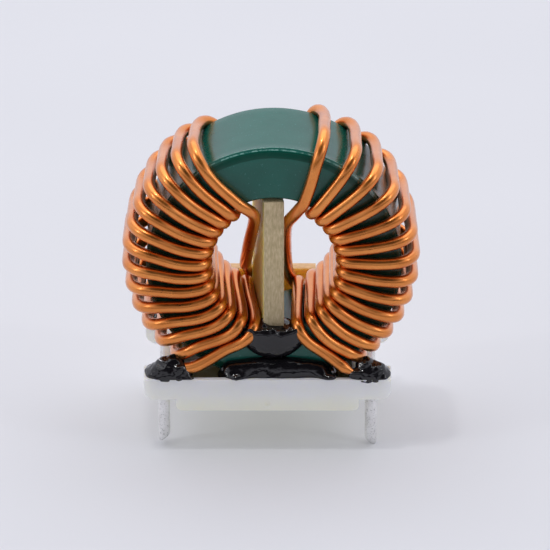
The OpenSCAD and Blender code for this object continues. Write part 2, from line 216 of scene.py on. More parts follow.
class Finish:
    """A Principled material and a few calls that add procedural nodes to it."""

    def __init__(self, name, **settings):
        self.material = bpy.data.materials.new(name)
        self.material.use_nodes = True
        self.nodes = self.material.node_tree.nodes
        self.links = self.material.node_tree.links
        self.shader = self.nodes["Principled BSDF"]
        self.coords = self.nodes.new("ShaderNodeTexCoord")
        for socket, value in settings.items():
            self.shader.inputs[socket.replace("_", " ")].default_value = value

    def place(self, stretch):
        """Where a point is in the object, with each axis stretched."""
        if stretch == (1, 1, 1):
            return self.coords.outputs["Object"]
        mapping = self.nodes.new("ShaderNodeMapping")
        mapping.inputs["Scale"].default_value = stretch
        self.links.new(self.coords.outputs["Object"], mapping.inputs["Vector"])
        return mapping.outputs["Vector"]

    def grain(self, size_mm, detail, stretch=(1, 1, 1)):
        """Noise whose features are about size_mm across."""
        tex = self.nodes.new("ShaderNodeTexNoise")
        tex.inputs["Scale"].default_value = 1 / (size_mm * MM)
        tex.inputs["Detail"].default_value = detail
        tex.inputs["Roughness"].default_value = GRAIN_ROUGHNESS
        self.links.new(self.place(stretch), tex.inputs["Vector"])
        return tex.outputs["Fac"]

    def cells(self, size_mm, stretch=(1, 1, 1)):
        """The distance to the nearest of many points that are about size_mm apart."""
        tex = self.nodes.new("ShaderNodeTexVoronoi")
        tex.inputs["Scale"].default_value = 1 / (size_mm * MM)
        self.links.new(self.place(stretch), tex.inputs["Vector"])
        return tex.outputs["Distance"]

    def ramp(self, value, stops):
        """A colour or a grey from a value. Each stop is (value, colour or grey)."""
        node = self.nodes.new("ShaderNodeValToRGB")
        band = node.color_ramp.elements
        while len(band) < len(stops):
            band.new(0.5)
        for element, (at, colour) in zip(band, stops):
            element.position = at
            grey = isinstance(colour, (int, float))
            element.color = (colour,) * 3 + (1,) if grey else tuple(colour) + (1,)
        self.links.new(value, node.inputs["Fac"])
        return node.outputs["Color"]

    def mix(self, share, a, b, mode="MIX"):
        """Colour a with a share of colour b."""
        node = self.nodes.new("ShaderNodeMix")
        node.data_type = "RGBA"
        node.blend_type = mode
        feed(self.links, node.inputs["Factor"], share)
        feed(self.links, node.inputs[MIX_A], a)
        feed(self.links, node.inputs[MIX_B], b)
        return node.outputs[MIX_OUT]

    def maths(self, operation, *values):
        """A maths node on outputs and numbers."""
        node = self.nodes.new("ShaderNodeMath")
        node.operation = operation
        for socket, value in zip(node.inputs, values):
            feed(self.links, socket, value)
        return node.outputs["Value"]

    def along(self, axis):
        """How far along an axis of the object a point is, in metres."""
        split = self.nodes.new("ShaderNodeSeparateXYZ")
        self.links.new(self.coords.outputs["Object"], split.inputs["Vector"])
        return split.outputs[axis]

    def between(self, axis, low_mm, high_mm):
        """1 between two places on an axis of the object, 0 outside them."""
        middle, half = (low_mm + high_mm) / 2 * MM, (high_mm - low_mm) / 2 * MM
        return self.maths("COMPARE", self.along(axis), middle, half)

    def inside(self, low_mm, high_mm):
        """1 inside a box in the object, 0 outside it."""
        share = 1
        for axis, low, high in zip("XYZ", low_mm, high_mm):
            share = self.maths("MULTIPLY", share, self.between(axis, low, high))
        return share

    def spread(self, value, low_mm, high_mm):
        """0 to 1 as a length goes from low to high."""
        node = self.nodes.new("ShaderNodeMapRange")
        node.inputs["From Min"].default_value = low_mm * MM
        node.inputs["From Max"].default_value = high_mm * MM
        self.links.new(value, node.inputs["Value"])
        return node.outputs["Result"]

    def height(self, low_mm, high_mm):
        """0 to 1 between two heights in the object."""
        return self.spread(self.along("Z"), low_mm, high_mm)

    def flank(self, start_mm, end_mm):
        """0 to 1 beyond a line across the ring, the same above and below the ring's centre.

        The line runs from start to end, each (sideways, up) from the centre. Beyond is on its left.
        """
        length = math.dist(start_mm, end_mm)
        side = -(end_mm[1] - start_mm[1]) / length
        rise = (end_mm[0] - start_mm[0]) / length
        up = self.maths("ABSOLUTE", self.maths("SUBTRACT", self.along("Z"), CORE_AT[2] * MM))
        up = self.maths("MULTIPLY_ADD", up, rise, -start_mm[1] * rise * MM)
        offset = -(CORE_AT[0] + start_mm[0]) * side * MM
        across = self.maths("MULTIPLY_ADD", self.along("X"), side, offset)
        return self.spread(self.maths("ADD", across, up), 0, FLANK_SOFT)

    def colour(self, output):
        self.links.new(output, self.shader.inputs["Base Color"])

    def rough(self, output):
        self.links.new(output, self.shader.inputs["Roughness"])

    def bumps(self, *layers):
        """Each layer is (height output, strength, depth in mm)."""
        before = None
        for height, strength, depth_mm in layers:
            node = self.nodes.new("ShaderNodeBump")
            node.inputs["Strength"].default_value = strength
            node.inputs["Distance"].default_value = depth_mm * MM
            self.links.new(height, node.inputs["Height"])
            if before is not None:
                self.links.new(before, node.inputs["Normal"])
            before = node.outputs["Normal"]
        self.links.new(before, self.shader.inputs["Normal"])


# Copper wire under clear amber enamel
enamel = Finish("wire_enamel", Metallic=1.0, Coat_Weight=0.65, Coat_Roughness=0.18, Coat_IOR=1.5)
speck = enamel.grain(0.35, 3)
copper = enamel.ramp(enamel.grain(3.5, 2), [
    (0.3, (0.70, 0.215, 0.034)), (0.52, (0.77, 0.255, 0.046)), (0.75, (0.84, 0.30, 0.062))])
specks = enamel.ramp(speck, [(0.55, 0.0), (0.75, 0.35)])
enamel.colour(enamel.mix(specks, copper, (0.58, 0.15, 0.025)))
enamel.rough(enamel.ramp(enamel.grain(1.2, 3), [(0.3, 0.26), (0.7, 0.35)]))
enamel.bumps((enamel.grain(1.6, 2), 0.12, 0.06), (speck, 0.08, 0.01))

# Tinned metal: the pins, the solder and the bared wire ends
tin = Finish("tinned", Metallic=1.0)
smear = tin.grain(0.9, 4, stretch=(1, 1, 0.45))
crater = tin.ramp(tin.grain(0.17, 2), [(0.58, 0.0), (0.68, 1.0)])
plating = tin.ramp(smear, [
    (0.25, (0.76, 0.755, 0.745)), (0.5, (0.88, 0.875, 0.87)), (0.8, (0.95, 0.95, 0.945))])
tin.colour(tin.mix(crater, plating, (0.50, 0.495, 0.485)))
tin.rough(tin.ramp(tin.grain(0.5, 4), [(0.3, 0.38), (0.7, 0.56)]))
tin.bumps((smear, 0.3, 0.08), (crater, 0.5, 0.03))

# Coated ring: thick dark green epoxy with a faint orange-peel. Just behind its front face it has a
# band of painted dark reflection, a deeper green, and then two painted highlight lines. Between the
# turns of each coil it has painted shade, dull and dark, beyond a line on each side of the ring
# that is FLANK_SOFT wide.
PAINTED_DARK_BAND = (0.05, 0.33)
HIGHLIGHT_LINES, HIGHLIGHT_HALF = (0.42, 0.77), 0.05
LEFT_FLANK, RIGHT_FLANK = ((-2.2, 8.7), (-9.6, 12.3)), ((8.2, 13.0), (3.7, 7.7))
FLANK_SOFT = 5
coat = Finish("ring_coat", Specular_IOR_Level=0.42)
drift = coat.grain(6, 3)
dust = coat.ramp(coat.grain(0.28, 2), [(0.66, 0.0), (0.74, 1.0)])
green = coat.ramp(drift, [
    (0.3, (0.004, 0.092, 0.067)), (0.55, (0.006, 0.108, 0.079)), (0.8, (0.009, 0.124, 0.092))])
# Painted highlights: two lighter, patchy lines along the front rim
lines = [coat.between("Y", RING_FRONT_Y + at - HIGHLIGHT_HALF, RING_FRONT_Y + at + HIGHLIGHT_HALF)
         for at in HIGHLIGHT_LINES]
patchy = coat.ramp(coat.grain(0.5, 3), [(0.42, 0.1), (0.56, 0.85)])
painted_highlights = coat.maths("MULTIPLY", coat.maths("MAXIMUM", *lines), patchy)
# Painted dark reflection: a band of deeper green just behind the front face
painted_dark_band = coat.between("Y", *(RING_FRONT_Y + at for at in PAINTED_DARK_BAND))
painted_dark_band = coat.maths("MULTIPLY", painted_dark_band, coat.ramp(drift, [(0.0, 0.8), (1.0, 0.9)]))
with_dark_band = coat.mix(painted_dark_band, coat.mix(dust, green, (0.03, 0.18, 0.15)), (0.001, 0.055, 0.034))
# Painted shade between the turns of each coil, dull and dark
painted_gap_shade = coat.maths("MAXIMUM", coat.flank(*LEFT_FLANK), coat.flank(*RIGHT_FLANK))
uneven = coat.ramp(coat.grain(1.5, 3), [(0.3, 0.75), (0.7, 0.92)])
painted_gap_shade = coat.maths("MULTIPLY", painted_gap_shade, uneven)
with_highlights = coat.mix(painted_highlights, with_dark_band, (0.22, 0.44, 0.38))
coat.colour(coat.mix(painted_gap_shade, with_highlights, (0.012, 0.024, 0.012)))
coat.rough(coat.ramp(coat.grain(2.2, 4), [(0.3, 0.16), (0.7, 0.26)]))
coat.bumps((coat.grain(1.1, 2), 0.35, 0.05), (coat.grain(0.25, 2), 0.2, 0.012))

# The divider's cut edges: speckled laminate, with painted shade that greys them low in the bore
cut = Finish("laminate_cut", Roughness=0.62)
fibre = cut.grain(0.2, 3, stretch=(1, 1, 0.25))
fibres = cut.ramp(fibre, [
    (0.25, (0.46, 0.36, 0.19)), (0.5, (0.60, 0.475, 0.27)), (0.75, (0.74, 0.61, 0.38))])
# Painted shade: greyer low in the bore, full colour near its top
painted_bore_shade = cut.ramp(cut.height(CORE_AT[2] - BORE_R, CORE_AT[2] + 1), [
    (0.0, (0.76, 0.76, 0.78)), (1.0, (1.0, 1.0, 1.0))])
cut.colour(cut.mix(1.0, fibres, painted_bore_shade, "MULTIPLY"))
cut.rough(cut.ramp(fibre, [(0.3, 0.75), (0.7, 0.5)]))
cut.bumps((fibre, 0.5, 0.06), (cut.cells(0.5, (1, 1, 0.5)), 0.25, 0.05))

# The divider's faces: yellow, and light shines through them
face = Finish("laminate_face", Specular_IOR_Level=0.1, Subsurface_Weight=1.0,
              Subsurface_Scale=0.004)
face.shader.inputs["Subsurface Radius"].default_value = (1.0, 0.85, 0.40)
weave = face.grain(0.8, 2)
face.colour(face.ramp(weave, [(0.3, (0.80, 0.68, 0.22)), (0.7, (0.90, 0.80, 0.30))]))
face.rough(face.ramp(face.grain(0.4, 3), [(0.3, 0.4), (0.7, 0.6)]))
face.bumps((face.grain(2.5, 1), 0.1, 0.04))

# The rear board's faces: a woven yellow sheet, with painted light, tan with the copper's bounced
# light, in a band that starts and is full this far below its top
LIT_TOP_BAND = (0.7, 0.4)
board = Finish("board", Coat_Weight=0.3, Coat_Roughness=0.1, Subsurface_Weight=0.9,
               Subsurface_Scale=0.003)
board.shader.inputs["Subsurface Radius"].default_value = (1.0, 0.8, 0.35)
sheet = board.ramp(board.grain(2.4, 3), [(0.25, (0.72, 0.58, 0.17)), (0.75, (0.84, 0.71, 0.26))])
woven = board.ramp(board.cells(0.32), [(0.2, (0.90, 0.89, 0.84)), (0.6, (1.0, 1.0, 1.0))])
# Painted light: tan along the board's top
painted_top_light = board.height(*(FLOOR_Z + BOARD_H - below for below in LIT_TOP_BAND))
board.colour(board.mix(board.ramp(painted_top_light, [(0.0, 0.0), (1.0, 1.0)]),
                       board.mix(1.0, sheet, woven, "MULTIPLY"), (0.76, 0.50, 0.24)))
board.rough(board.ramp(board.grain(0.5, 3), [(0.3, 0.3), (0.7, 0.5)]))
board.bumps((board.cells(0.7), 0.3, 0.03))

# The rear board's cut edges
tan = Finish("board_edge", Roughness=0.5)
thread = tan.grain(0.3, 3, stretch=(0.5, 1, 1))
tan.colour(tan.ramp(thread, [(0.3, (0.60, 0.36, 0.15)), (0.7, (0.76, 0.50, 0.24))]))
tan.bumps((thread, 0.3, 0.03))

# Moulded nylon, milky. Painted light makes it a little yellow where it is low, and painted shade,
# olive-brown with the copper's bounced light, darkens it in the tray
YELLOW_UP_TO, TRAY_HALF_W = 2.2, 11
nylon = Finish("base_nylon", Subsurface_Weight=0.55, Subsurface_Scale=0.0022, IOR=1.53,
               Specular_IOR_Level=0.45)
nylon.shader.inputs["Subsurface Radius"].default_value = (1.0, 0.95, 0.62)
milk = nylon.ramp(nylon.grain(5, 3), [(0.3, (0.955, 0.96, 0.88)), (0.7, (0.98, 0.985, 0.925))])
# Painted light from below: a little yellow low down
low = nylon.ramp(nylon.height(0, YELLOW_UP_TO), [(0.0, 1.0), (1.0, 0.0)])
tray = nylon.inside((-TRAY_HALF_W, 0.4 - BASE_D / 2, FLOOR_Z - 0.1),
                    (TRAY_HALF_W, BASE_D / 2 - 0.4, BASE_H - 0.06))
# Painted shade in the tray, olive-brown and uneven
painted_tray_shade = nylon.ramp(nylon.grain(2.0, 3), [(0.3, 0.6), (0.5, 0.95)])
pale = nylon.mix(low, milk, (0.97, 0.955, 0.78))
nylon.colour(nylon.mix(nylon.maths("MULTIPLY", tray, painted_tray_shade), pale, (0.34, 0.26, 0.06)))
nylon.rough(nylon.ramp(nylon.grain(1.0, 4), [(0.3, 0.36), (0.7, 0.5)]))
nylon.bumps((nylon.grain(3.0, 2), 0.2, 0.05), (nylon.grain(0.18, 3), 0.25, 0.012))

# Black glue, lumpy and very glossy
glue = Finish("black_glue", Specular_IOR_Level=0.55)
skin = glue.grain(1.4, 3)
glue.colour(glue.ramp(skin, [(0.3, (0.0035, 0.003, 0.004)), (0.7, (0.009, 0.008, 0.010))]))
glue.rough(glue.ramp(skin, [(0.3, 0.03), (0.7, 0.09)]))
glue.bumps((glue.grain(0.8, 2), 0.45, 0.12), (glue.grain(0.25, 2), 0.2, 0.03))

# Pale floor, a sheet that lets a little light through
paper = Finish("paper", Roughness=0.9, Specular_IOR_Level=0.1, Emission_Strength=0.094)
paper.shader.inputs["Emission Color"].default_value = (0.93, 0.96, 1.0, 1)
paper.colour(paper.ramp(paper.grain(60, 2), [
    (0.3, (0.608, 0.611, 0.634)), (0.7, (0.627, 0.629, 0.652))]))
paper.bumps((paper.grain(0.6, 2), 0.05, 0.02))

# ---------- mesh helpers ----------


def piece(name, verts, faces, finishes, face_finish=None):
    """A smooth mesh object from points in millimetres, riding on the one body."""
    mesh = bpy.data.meshes.new(name)
    points = [tuple(v) for v in np.asarray(verts, float) * MM]
    mesh.from_pydata(points, [], [tuple(f) for f in faces])
    mesh.validate()
    obj = bpy.data.objects.new(name, mesh)
    bpy.context.collection.objects.link(obj)
    for finish in finishes:
        mesh.materials.append(finish.material)
    for i, polygon in enumerate(mesh.polygons):
        polygon.use_smooth = True
        if face_finish is not None:
            polygon.material_index = face_finish[i]
    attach(obj, "root")
    return obj


def outward(obj):
    """Makes all the faces look out of a closed mesh."""
    bm = bmesh.new()
    bm.from_mesh(obj.data)
    bmesh.ops.recalc_face_normals(bm, faces=bm.faces)
    bm.to_mesh(obj.data)
    bm.free()


def ripple(points, size, depth, seed):
    """Smooth noise at each point, between -depth and depth."""
    shift = Vector((seed * 7.3, seed * 3.1, seed * 5.7))
    return np.array([noise.noise(Vector(p) / size + shift) for p in points]) * depth


def unit(vectors):
    return vectors / np.linalg.norm(vectors, axis=1)[:, None]


def quads(loops, sides, closed=False):
    """Faces between each loop of points and the next. Closed, the last loop meets the first."""
    faces = []
    for i in range(loops if closed else loops - 1):
        a, b = i * sides, (i + 1) % loops * sides
        for j in range(sides):
            k = (j + 1) % sides
            faces.append((a + j, a + k, b + k, b + j))
    return faces


# ---------- wires ----------

WIRE_FACE_Y = CORE_W / 2 + WIRE_R + WIRE_GAP
WIRE_BORE_R = BORE_R - WIRE_R - WIRE_GAP
BORE_PITCH = 2 * math.degrees(math.asin((2 * WIRE_R + TURN_GAP) / 2 / WIRE_BORE_R))
# The turns from which and over which the bends out of the bore widen, and by how much
WIDE_FROM, WIDE_OVER, WIDE_BY = 7, 4, 0.45
# Steps of a turn: round a bend at the bore or rim, on a straight part, and through the bore
BORE_BEND_STEPS, RIM_BEND_STEPS, STRAIGHT_STEPS, BORE_STEPS, LEAD_STEPS = 8, 10, 12, 16, 12
# The spacing of a route's points, how far its places, its angles and then all of it are smoothed,
# and which of the points are kept
STEP, PLACE_MM, SWAY_MM, ALL_MM, KEPT = 0.12, 0.45, 1.5, 0.4, 3
WIRE_SIDES = 16
# A wire's domed ends, and how much of its radius a nipped one loses
DOME_DEGREES, DOME_BULGE, NIP_DEPTH = (35, 65, 85), 0.35, 0.6


def ease(t):
    return t * t * (3 - 2 * t)


def lean(values, k):
    """What (first, last, added in the middle) say for turn k."""
    share = k / (TURNS - 1)
    middle = math.sqrt(max(math.sin(math.pi * share), 0))
    return values[0] + (values[1] - values[0]) * share + values[2] * middle


def polar(coil, r, y, angle):
    a = math.radians(angle)
    return (coil["side"] * r * math.sin(a), y, r * math.cos(a))


def steady(values, spread):
    """Gaussian smoothing of a list along its first axis, with its two ends held."""
    n = int(spread * 3)
    weights = np.exp(-0.5 * (np.arange(-n, n + 1) / spread) ** 2)
    weights /= weights.sum()
    v = np.asarray(values, float)
    padded = np.concatenate([2 * v[0] - v[n:0:-1], v, 2 * v[-1] - v[-2:-n - 2:-1]])
    return np.stack([np.convolve(padded[:, i], weights, "valid") for i in range(v.shape[1])], 1)


def shares(n, first=0, last=0):
    """Evenly spaced shares from 0 to 1, leaving out some at each end."""
    return [i / n for i in range(first, n + 1 - last)]


def quarter(ts):
    """For shares of a quarter turn: the share, what is gained the new way and left of the old."""
    return [(t, 1 - math.cos(math.pi / 2 * t), 1 - math.sin(math.pi / 2 * t)) for t in ts]


def bore_bend(k):
    """How gently a turn comes out of the bore. The last ones, pushed together, are the widest."""
    return BORE_BEND + WIDE_BY * ease(min(1, max(0, (k - WIDE_FROM) / WIDE_OVER)))


def turn_points(coil, k):
    """One turn, as (radius, y, angle).

    It comes out of the bore, and goes along the front face, over the rim, in along the back and
    forward through the bore. The last turn ends halfway along the front face.
    """
    even = coil["last"] - (TURNS - 1 - k) * BORE_PITCH
    bore = even + coil["crowd"].get(k, 0)
    following = even + BORE_PITCH + coil["crowd"].get(k + 1, 0)
    slide = coil["slide"][0] + (coil["slide"][1] - coil["slide"][0]) * k / (TURNS - 1)
    bore_back = bore + (following - bore) * slide
    face_angle, rim = even + lean(coil["face"], k), even + lean(coil["rim"], k)
    front_r = CORE_R + WIRE_R + lean(coil["front"], k)
    back_r = CORE_R + WIRE_R + lean(coil["back"], k)
    hug = CORE_EDGE + WIRE_R + WIRE_GAP
    front_b = min(RIM_BEND, hug + lean(coil["front"], k))
    back_b = min(RIM_BEND, hug + lean(coil["back"], k))
    bend = bore_bend(k)
    inner = WIRE_BORE_R + bend
    out = []
    for _, gained, left in quarter(shares(BORE_BEND_STEPS) if k else [1]):
        out.append((WIRE_BORE_R + bend * gained, -WIRE_FACE_Y + bend * left, bore))
    for t in shares(STRAIGHT_STEPS, 1, 1):
        if k == TURNS - 1 and t > 0.5:
            return out
        angle = (bore * (1 - t) * (1 - 2 * t) + 4 * face_angle * t * (1 - t)
                 + rim * t * (2 * t - 1))
        out.append((inner + (front_r - front_b - inner) * t, -WIRE_FACE_Y, angle))
    for _, gained, left in quarter(shares(RIM_BEND_STEPS)):
        out.append((front_r - front_b * left, -WIRE_FACE_Y + front_b * gained, rim))
    y0, y1 = -WIRE_FACE_Y + front_b, WIRE_FACE_Y - back_b
    for t in shares(STRAIGHT_STEPS, 1, 1):
        angle = rim + RIM_SWAY * ease(t)
        out.append((front_r + (back_r - front_r) * t, y0 + (y1 - y0) * t, angle))
    for t, gained, left in quarter(shares(RIM_BEND_STEPS)):
        angle = rim + RIM_SWAY - REAR_LEAN * ease(t)
        out.append((back_r - back_b * gained, WIRE_FACE_Y - back_b * left, angle))
    back_angle = rim + RIM_SWAY - REAR_LEAN
    inner = WIRE_BORE_R + BACK_BEND
    for t in shares(STRAIGHT_STEPS, 1, 1):
        angle = back_angle + (bore_back - back_angle) * ease(t)
        out.append((back_r - back_b + (inner - back_r + back_b) * t, WIRE_FACE_Y, angle))
    for _, gained, left in quarter(shares(BORE_BEND_STEPS)):
        out.append((WIRE_BORE_R + BACK_BEND * left, WIRE_FACE_Y - BACK_BEND * gained, bore_back))
    y0, y1 = WIRE_FACE_Y - BACK_BEND, bore_bend(k + 1) - WIRE_FACE_Y
    for t in shares(BORE_STEPS, 1, 1):
        angle = bore_back + (following - bore_back) * ease(t)
        out.append((WIRE_BORE_R, y0 + (y1 - y0) * t, angle))
    return out


def smooth_through(points, n):
    """Catmull-Rom curve through points, n steps between each two."""
    p = [np.array(q, float) for q in points]
    out = []
    for i in range(len(p) - 1):
        a, b, c, d = p[max(i - 1, 0)], p[i], p[i + 1], p[min(i + 2, len(p) - 1)]
        for j in range(n):
            t = j / n
            out.append(0.5 * (2 * b + (c - a) * t + (2 * a - 5 * b + 4 * c - d) * t ** 2
                              + (3 * b - a - 3 * c + d) * t ** 3))
    out.append(p[-1])
    return out


def run_along(points):
    """The length of a route up to each of its points."""
    return np.concatenate([[0], np.cumsum(np.linalg.norm(np.diff(points, axis=0), axis=1))])


def read_off(at, run, values):
    """Values that go with a route's points, at other lengths along it."""
    return np.stack([np.interp(at, run, values[:, i]) for i in range(3)], 1)


def wire_route(coil):
    """The whole wire, from the ring's centre.

    On the coil its angle changes slowly, so a turn sways gently from rim to face.
    """
    turns = np.array([q for k in range(TURNS) for q in turn_points(coil, k)])
    run = run_along(np.array([polar(coil, *q) for q in turns]))
    even = read_off(np.arange(0, run[-1], STEP), run, turns)
    swept = np.concatenate([steady(even[:, :2], PLACE_MM / STEP),
                            steady(even[:, 2:], SWAY_MM / STEP)], 1)
    body = [polar(coil, *q) for q in swept]
    route = np.array(smooth_through(coil["start"] + [body[0]], LEAD_STEPS) + body[1:-1]
                     + smooth_through([body[-1]] + coil["end"], LEAD_STEPS), float)
    run = run_along(route)
    even = read_off(np.linspace(0, run[-1], int(run[-1] / STEP) + 1), run, route)
    return steady(even, ALL_MM / STEP)[::KEPT]


def tube(points, radius, sides, nip):
    """Loops round a route, turned as little as possible from one to the next, with domed ends.

    Over its last nip points it narrows, as where cutters have closed on the wire.
    """
    p = np.asarray(points)
    heading = unit(np.gradient(p, axis=0))
    narrowed = [ease(max(0, i + 1 + nip - len(p)) / max(nip, 1)) for i in range(len(p))]
    rows = [(p[i], heading[i], radius * (1 - NIP_DEPTH * narrowed[i])) for i in range(len(p))]
    last_radius = rows[-1][2]
    dome = [(math.sin(a), math.cos(a)) for a in map(math.radians, DOME_DEGREES)]
    head = [(p[0] - heading[0] * radius * s * DOME_BULGE, heading[0], radius * c)
            for s, c in dome[::-1]]
    tail = [(p[-1] + heading[-1] * last_radius * s * DOME_BULGE, heading[-1], last_radius * c)
            for s, c in dome]
    rows = head + rows + tail
    side = np.array([0.3, 0.1, 1.0])
    verts = []
    for at, along, r in rows:
        side = side - along * (side @ along)
        side = side / np.linalg.norm(side)
        other = np.cross(along, side)
        for j in range(sides):
            a = 2 * math.pi * j / sides
            verts.append(at + r * (side * math.cos(a) + other * math.sin(a)))
    # Each face starts one point on, which has it split along its other diagonal
    faces = [quad[1:] + quad[:1] for quad in quads(len(rows), sides)]
    last = (len(rows) - 1) * sides
    faces.append(tuple(range(sides)))
    faces.append(tuple(last + j for j in range(sides - 1, -1, -1)))
    return np.array(verts), faces


# Each wire is bare for a way at both ends, and may be nipped at its last points
for name, coil, node, bare_mm, nip in (("wire_left", LEFT, "winding_left", 0.5, 0),
                                       ("wire_right", RIGHT, "winding_right", 0.3, 5)):
    route = wire_route(coil) + CORE_AT
    verts, faces = tube(route, ENAMELLED_R, WIRE_SIDES, nip)
    step = np.linalg.norm(route[1] - route[0])
    bare = int(bare_mm / step) + len(DOME_DEGREES)
    loops = len(verts) // WIRE_SIDES
    tinned = [int(loop < bare or loop >= loops - 1 - bare)
              for loop in range(loops - 1) for _ in range(WIRE_SIDES)] + [1, 1]
    wire = piece(name, verts, faces, [enamel, tin], tinned)
    outward(wire)
    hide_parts(node)

# ---------- ring ----------

RING_SIDES = 360
# The slope and the chamfer of its front rim, in degrees
RIM_SLOPE, RIM_CHAMFER = 13, 47


def arc(centre, radius, start, stop, n):
    """Points (radius, y) on an arc. 0 degrees is outwards from the ring's axis and 90 the back."""
    return [(centre[0] + radius * math.cos(math.radians(a)),
             centre[1] + radius * math.sin(math.radians(a))) for a in np.linspace(start, stop, n)]


def ring_profile():
    """Outline of the ring's section as (radius, y).

    The coat has run to two thin lips at the front rim.
    """
    half = CORE_W / 2
    soft, crisp, lip = CORE_EDGE, 0.4, 0.02
    corners = arc((CORE_R - crisp, half - crisp), crisp, 0, 90, 7)
    corners += arc((BORE_R + soft, half - soft), soft, 90, 180, 9)
    corners += arc((BORE_R + crisp, crisp - half), crisp, 180, 270, 7)
    corners += [(CORE_R - 1.45, -half), (CORE_R - 1.30, 0.010 - half),
                (CORE_R - 1.15, 0.035 - half)]
    corners += arc((CORE_R - 0.55, 0.33 - half), 0.16, 270 + RIM_SLOPE, 270 + RIM_CHAMFER, 5)
    corners += arc((CORE_R - 0.16, 0.66 - half), 0.16 + lip, 270 + RIM_CHAMFER, 360, 5)
    corners += [(CORE_R, 0.80 - half)]
    out = []
    for a, b in zip(corners, corners[1:] + corners[:1]):
        n = max(1, int(math.dist(a, b) / 1.2))
        out += [(a[0] + (b[0] - a[0]) * i / n, a[1] + (b[1] - a[1]) * i / n) for i in range(n)]
    return out


def ring_points(profile):
    """The profile swept round the ring's axis, slightly uneven."""
    points = []
    for i in range(RING_SIDES):
        a = 2 * math.pi * i / RING_SIDES
        points += [(r * math.sin(a), y, r * math.cos(a)) for r, y in profile]
    points = np.array(points)
    dips = ripple(points, 3.2, 0.018, 1) + ripple(points, 1.1, 0.007, 2)
    middle = unit(points * [1, 0, 1]) * (CORE_R + BORE_R) / 2
    return points + unit(points - middle) * (dips - 0.02)[:, None] + CORE_AT


profile = ring_profile()
ring = piece("coated_ring", ring_points(profile), quads(RING_SIDES, len(profile), closed=True),
             [coat])
outward(ring)
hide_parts("core")

# ---------- plates ----------

# How often a plate's edges are halved, down to what length, and how uneven its faces are
PLATE_HALVINGS, PLATE_EDGE_OVER, PLATE_WOBBLE = 3, 0.9, 0.02


def plate(name, centre, size, turn, edge, seed, finishes, pick, node):
    """A plate with rounded edges and slightly uneven faces.

    pick gives each face's finish from its normal, before the plate is turned.
    """
    bm = bmesh.new()
    bmesh.ops.create_cube(bm, size=1)
    for v in bm.verts:
        v.co = Vector((v.co.x * size[0], v.co.y * size[1], v.co.z * size[2]))
    bmesh.ops.bevel(bm, geom=bm.edges[:], offset=edge, segments=3, profile=0.5, affect="EDGES")
    for _ in range(PLATE_HALVINGS):
        long_edges = [e for e in bm.edges if e.calc_length() > PLATE_EDGE_OVER]
        bmesh.ops.subdivide_edges(bm, edges=long_edges, cuts=1, use_grid_fill=True)
    bmesh.ops.triangulate(bm, faces=[f for f in bm.faces if len(f.verts) > 4])
    bm.normal_update()
    a = math.radians(turn)
    chosen = [pick(f.normal) for f in bm.faces]
    moves = ripple([v.co for v in bm.verts], 1.5, PLATE_WOBBLE, seed)
    for v, m in zip(bm.verts, moves):
        v.co = v.co - v.normal * abs(m)
    verts = [(v.co.x * math.cos(a) - v.co.y * math.sin(a) + centre[0],
              v.co.x * math.sin(a) + v.co.y * math.cos(a) + centre[1],
              v.co.z + centre[2]) for v in bm.verts]
    faces = [[v.index for v in f.verts] for f in bm.faces]
    bm.free()
    obj = piece(name, verts, faces, finishes, chosen)
    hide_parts(node)


# The divider fills the bore's height where it stands
divider_half_x = (DIVIDER_T / 2 * math.cos(math.radians(DIVIDER_TURN))
                  + DIVIDER_L / 2 * math.sin(math.radians(DIVIDER_TURN)))
divider_x = -DIVIDER_L / 2 * math.sin(math.radians(DIVIDER_TURN))
divider_h = 2 * math.sqrt(BORE_R ** 2 - (abs(divider_x) + divider_half_x) ** 2)
plate("divider_plate", CORE_AT + [divider_x, 0, 0], (DIVIDER_T, DIVIDER_L, divider_h),
      turn=DIVIDER_TURN, edge=0.1, seed=3, finishes=[cut, face],
      pick=lambda n: int(abs(n.x) > 0.8), node="divider")
plate("standing_board", (0, BOARD_Y, FLOOR_Z + BOARD_H / 2), (BOARD_W, BOARD_T, BOARD_H),
      turn=0, edge=0.12, seed=4, finishes=[board, tan],
      pick=lambda n: int(n.z > 0.8 or abs(n.x) > 0.8), node="rear_board")

# ---------- base ----------

# How far its edges are rounded and in how many steps, and from what angle they count as sharp
BASE_SOFT, BASE_SEGMENTS, SHARP_FROM = 0.32, 4, 35


def rounded_copy(name, node, finish):
    """A copy of a CAD node with its sharp edges rounded."""
    bm = bmesh.new()
    bm.from_mesh(NODES[node].data)
    bmesh.ops.scale(bm, vec=(1 / MM,) * 3, verts=bm.verts)
    bmesh.ops.remove_doubles(bm, verts=bm.verts, dist=0.001)
    bmesh.ops.dissolve_limit(bm, angle_limit=math.radians(1), verts=bm.verts, edges=bm.edges)
    bmesh.ops.recalc_face_normals(bm, faces=bm.faces)
    verts = [tuple(v.co) for v in bm.verts]
    faces = [[v.index for v in f.verts] for f in bm.faces]
    bm.free()
    obj = piece(name, verts, faces, [finish])
    soften = obj.modifiers.new("edges", "BEVEL")
    soften.width = BASE_SOFT * MM
    soften.segments = BASE_SEGMENTS
    soften.limit_method = "ANGLE"
    soften.angle_limit = math.radians(SHARP_FROM)
    soften.use_clamp_overlap = True
    soften.harden_normals = True
    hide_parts(node)


rounded_copy("moulded_base", "base", nylon)

# ---------- pins and solder ----------

PIN_LOOPS, PIN_SIDES = 60, 28
# The share of a pin's width that its slanting cut takes, and how much its ends narrow over what
# length
CUT_SHARE, END_NARROWING, END_LENGTH = 0.75, 0.10, 0.12


